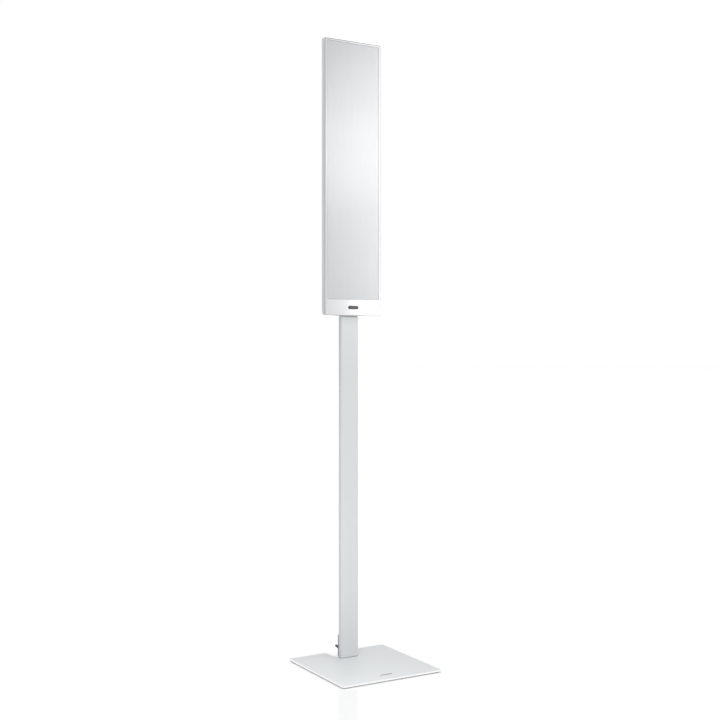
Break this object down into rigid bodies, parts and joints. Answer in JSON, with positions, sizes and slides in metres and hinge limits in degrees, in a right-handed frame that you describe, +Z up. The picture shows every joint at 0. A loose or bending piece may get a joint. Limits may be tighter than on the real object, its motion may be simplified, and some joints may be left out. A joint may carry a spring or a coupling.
{
  "type": "floorstanding speaker",
  "caption": "Slim floorstanding loudspeaker: flat two-way cabinet with a pull-off grille on a rectangular post and square base plate.",
  "frame": {"origin": "on the floor under the middle of the square base plate", "axes": "+Z up, the grille faces -Y, the input terminals face +Y, +X is to the right seen from the front"},
  "size_m": [0.24, 0.24, 1.357],
  "materials": {
    "base_paint": "satin white powder coat with a bright bevelled edge",
    "bright_trim": "plain bright bar",
    "rubber_pad": "matte black rubber",
    "gasket_rubber": "grey rubber",
    "post_silver": "silver-white satin extrusion",
    "panel_plastic": "fine-textured dark grey",
    "screw_steel": "zinc-plated steel",
    "screw_black": "blackened steel",
    "bracket_black": "black painted steel",
    "cable_jacket": "soft black jacket",
    "shell_satin": "satin white moulding",
    "inner_plastic": "black moulding",
    "frame_gloss": "high gloss white",
    "badge_black": "plain dark plaque",
    "grille_cloth": "fine silver-white acoustic cloth",
    "board_green": "circuit board",
    "copper_wire": "enamelled copper wire",
    "capacitor_film": "film capacitor sleeve",
    "wadding_wool": "polyester wadding",
    "cone_alloy": "thin satin alloy skin",
    "magnet_steel": "plated yoke round a ferrite ring",
    "basket_black": "black stamped steel",
    "surround_rubber": "soft black half roll",
    "spider_weave": "resin-dipped cotton weave",
    "terminal_metal": "nickel-plated brass",
    "terminal_black": "knurled black cap",
    "terminal_red": "knurled red cap"
  },
  "bodies": {
    "speaker": {"base_plate": "base_paint", "base_mark": "bright_trim", "foot_pad_front_left": "rubber_pad", "foot_pad_front_right": "rubber_pad", "foot_pad_rear_left": "rubber_pad", "foot_pad_rear_right": "rubber_pad", "base_screw_left": "screw_steel", "base_screw_right": "screw_steel", "post_gasket": "gasket_rubber", "post_extrusion": "post_silver", "terminal_panel": "panel_plastic", "panel_screw_left": "screw_steel", "panel_screw_right": "screw_steel", "stand_bracket": "bracket_black", "bracket_screw_left": "screw_steel", "bracket_screw_right": "screw_steel", "head_fixing_screw_lower": "screw_steel", "head_fixing_screw_upper": "screw_steel", "post_lead": "cable_jacket", "rear_shell": "shell_satin", "bay_cover": "shell_satin", "baffle": "inner_plastic", "front_frame": "frame_gloss", "badge": "badge_black", "head_terminal_block": "inner_plastic", "cover_screw": "screw_steel", "baffle_screw_lower_left": "screw_black", "baffle_screw_lower_right": "screw_black", "baffle_screw_upper_left": "screw_black", "baffle_screw_upper_right": "screw_black", "crossover_board": "board_green", "wiring_loom": "cable_jacket", "wadding": "wadding_wool", "crossover_inductor": "copper_wire", "crossover_capacitor": "capacitor_film", "tweeter_plate": "inner_plastic", "tweeter_magnet": "magnet_steel", "terminal_stud_negative": "terminal_metal", "terminal_collar_negative": "terminal_black", "terminal_stud_positive": "terminal_metal", "terminal_collar_positive": "terminal_red", "woofer_upper_basket": "basket_black", "woofer_upper_surround": "surround_rubber", "woofer_upper_spider": "spider_weave", "woofer_upper_magnet": "magnet_steel", "woofer_lower_basket": "basket_black", "woofer_lower_surround": "surround_rubber", "woofer_lower_spider": "spider_weave", "woofer_lower_magnet": "magnet_steel"},
    "grille": {"grille_frame": "inner_plastic", "grille_cloth": "grille_cloth"},
    "woofer_upper_cone": {"woofer_upper_diaphragm": "cone_alloy", "woofer_upper_coil": "copper_wire"},
    "woofer_lower_cone": {"woofer_lower_diaphragm": "cone_alloy", "woofer_lower_coil": "copper_wire"},
    "tweeter_cone": {"tweeter_dome": "cone_alloy"},
    "washer_negative": {"terminal_washer_negative": "terminal_metal"},
    "nut_negative": {"terminal_nut_negative": "terminal_black"},
    "washer_positive": {"terminal_washer_positive": "terminal_metal"},
    "nut_positive": {"terminal_nut_positive": "terminal_red"}
  },
  "joints": [
    {"name": "grille_pull", "type": "slide", "parent": "speaker", "child": "grille", "axis": [0, -1, 0], "range_m": [0, 0.025]},
    {"name": "woofer_upper_stroke", "type": "slide", "parent": "speaker", "child": "woofer_upper_cone", "axis": [0, 1, 0], "range_m": [-0.0025, 0.0025], "stiffness_N_per_m": 1500, "deforming": ["woofer_upper_surround", "woofer_upper_spider"]},
    {"name": "woofer_lower_stroke", "type": "slide", "parent": "speaker", "child": "woofer_lower_cone", "axis": [0, 1, 0], "range_m": [-0.0025, 0.0025], "stiffness_N_per_m": 1500, "deforming": ["woofer_lower_surround", "woofer_lower_spider"]},
    {"name": "tweeter_stroke", "type": "slide", "parent": "speaker", "child": "tweeter_cone", "axis": [0, 1, 0], "range_m": [-0.0005, 0.0005], "stiffness_N_per_m": 2000},
    {"name": "washer_negative_slide", "type": "slide", "parent": "speaker", "child": "washer_negative", "axis": [0, 1, 0], "range_m": [0, 0.00315]},
    {"name": "nut_negative_turn", "type": "hinge", "parent": "washer_negative", "child": "nut_negative", "pos_m": [-0.0105, 0.094, 0.0225], "axis": [0, 1, 0], "range_deg": [0, 1620]},
    {"name": "washer_positive_slide", "type": "slide", "parent": "speaker", "child": "washer_positive", "axis": [0, 1, 0], "range_m": [0, 0.00315]},
    {"name": "nut_positive_turn", "type": "hinge", "parent": "washer_positive", "child": "nut_positive", "pos_m": [0.0105, 0.094, 0.0225], "axis": [0, 1, 0], "range_deg": [0, 1620]}
  ],
  "couplings": [
    {"joint": "nut_negative_turn", "follows": "washer_negative_slide", "rad_per_m": 8975.9},
    {"joint": "nut_positive_turn", "follows": "washer_positive_slide", "rad_per_m": 8975.9}
  ]
}
